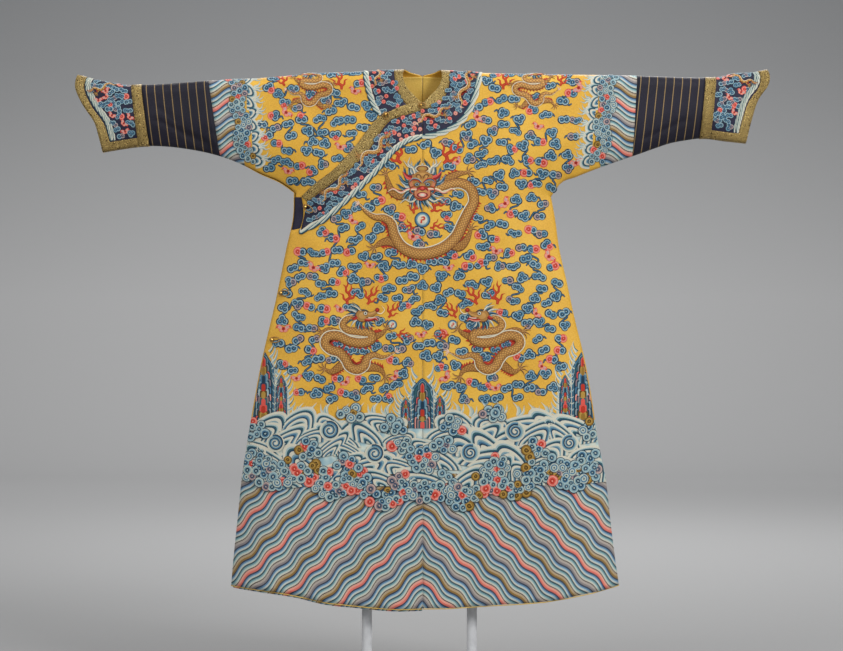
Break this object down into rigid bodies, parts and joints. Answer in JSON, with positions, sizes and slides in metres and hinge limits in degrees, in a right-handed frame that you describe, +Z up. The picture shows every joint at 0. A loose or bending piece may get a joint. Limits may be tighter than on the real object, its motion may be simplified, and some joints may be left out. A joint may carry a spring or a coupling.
{
  "type": "dragon robe on display stand",
  "caption": "Chinese court robe held open and flat on a two-post stand, with overlap front, striped sleeves, flared horse-hoof cuffs and hollow body",
  "frame": {"origin": "centre of the underside of the stand's base, under the middle of the robe", "axes": "+X to the wearer's left along the sleeves, -Y to the front of the robe, +Z up"},
  "size_m": [1.8488, 0.4, 1.6489],
  "materials": {
    "yellow_silk": "satin silk embroidered with clouds, dragons, mountains, waves and slanting stripes",
    "lining_silk": "plain glossy silk",
    "navy_silk": "satin silk embroidered with dragons, clouds and waves",
    "dark_silk": "ribbed dark silk with fine gold lines",
    "brocade": "gold thread brocade",
    "piping_silk": "folded silk piping",
    "cord": "twisted silk cord",
    "gilt": "gilt metal, lightly worn",
    "stand_paint": "matte white paint"
  },
  "bodies": {
    "root": {"left_half": "yellow_silk", "left_sleeve": "dark_silk", "left_cuff": "navy_silk", "left_cuff_band": "brocade", "left_cuff_border": "brocade", "left_neck_trim": "brocade", "left_collar_band": "navy_silk", "left_neck_lining": "lining_silk", "left_hem_piping_front": "piping_silk", "left_hem_piping_back": "piping_silk", "left_post": "stand_paint", "left_shoulder_bar": "stand_paint", "right_half": "yellow_silk", "right_sleeve": "dark_silk", "right_cuff": "navy_silk", "right_cuff_band": "brocade", "right_cuff_border": "brocade", "right_neck_trim": "brocade", "right_collar_band": "navy_silk", "right_neck_lining": "lining_silk", "right_hem_piping_front": "piping_silk", "right_hem_piping_back": "piping_silk", "right_post": "stand_paint", "right_shoulder_bar": "stand_paint", "overlap_front": "yellow_silk", "overlap_trim": "brocade", "overlap_band": "navy_silk", "underlap": "navy_silk", "neck_loop": "cord", "neck_button": "gilt", "chest_loop": "cord", "chest_button": "gilt", "underarm_loop": "cord", "underarm_button": "gilt", "waist_loop": "cord", "waist_button": "gilt", "hip_loop": "cord", "hip_button": "gilt", "stand_base": "stand_paint", "stand_brace": "stand_paint"}
  },
  "joints": []
}
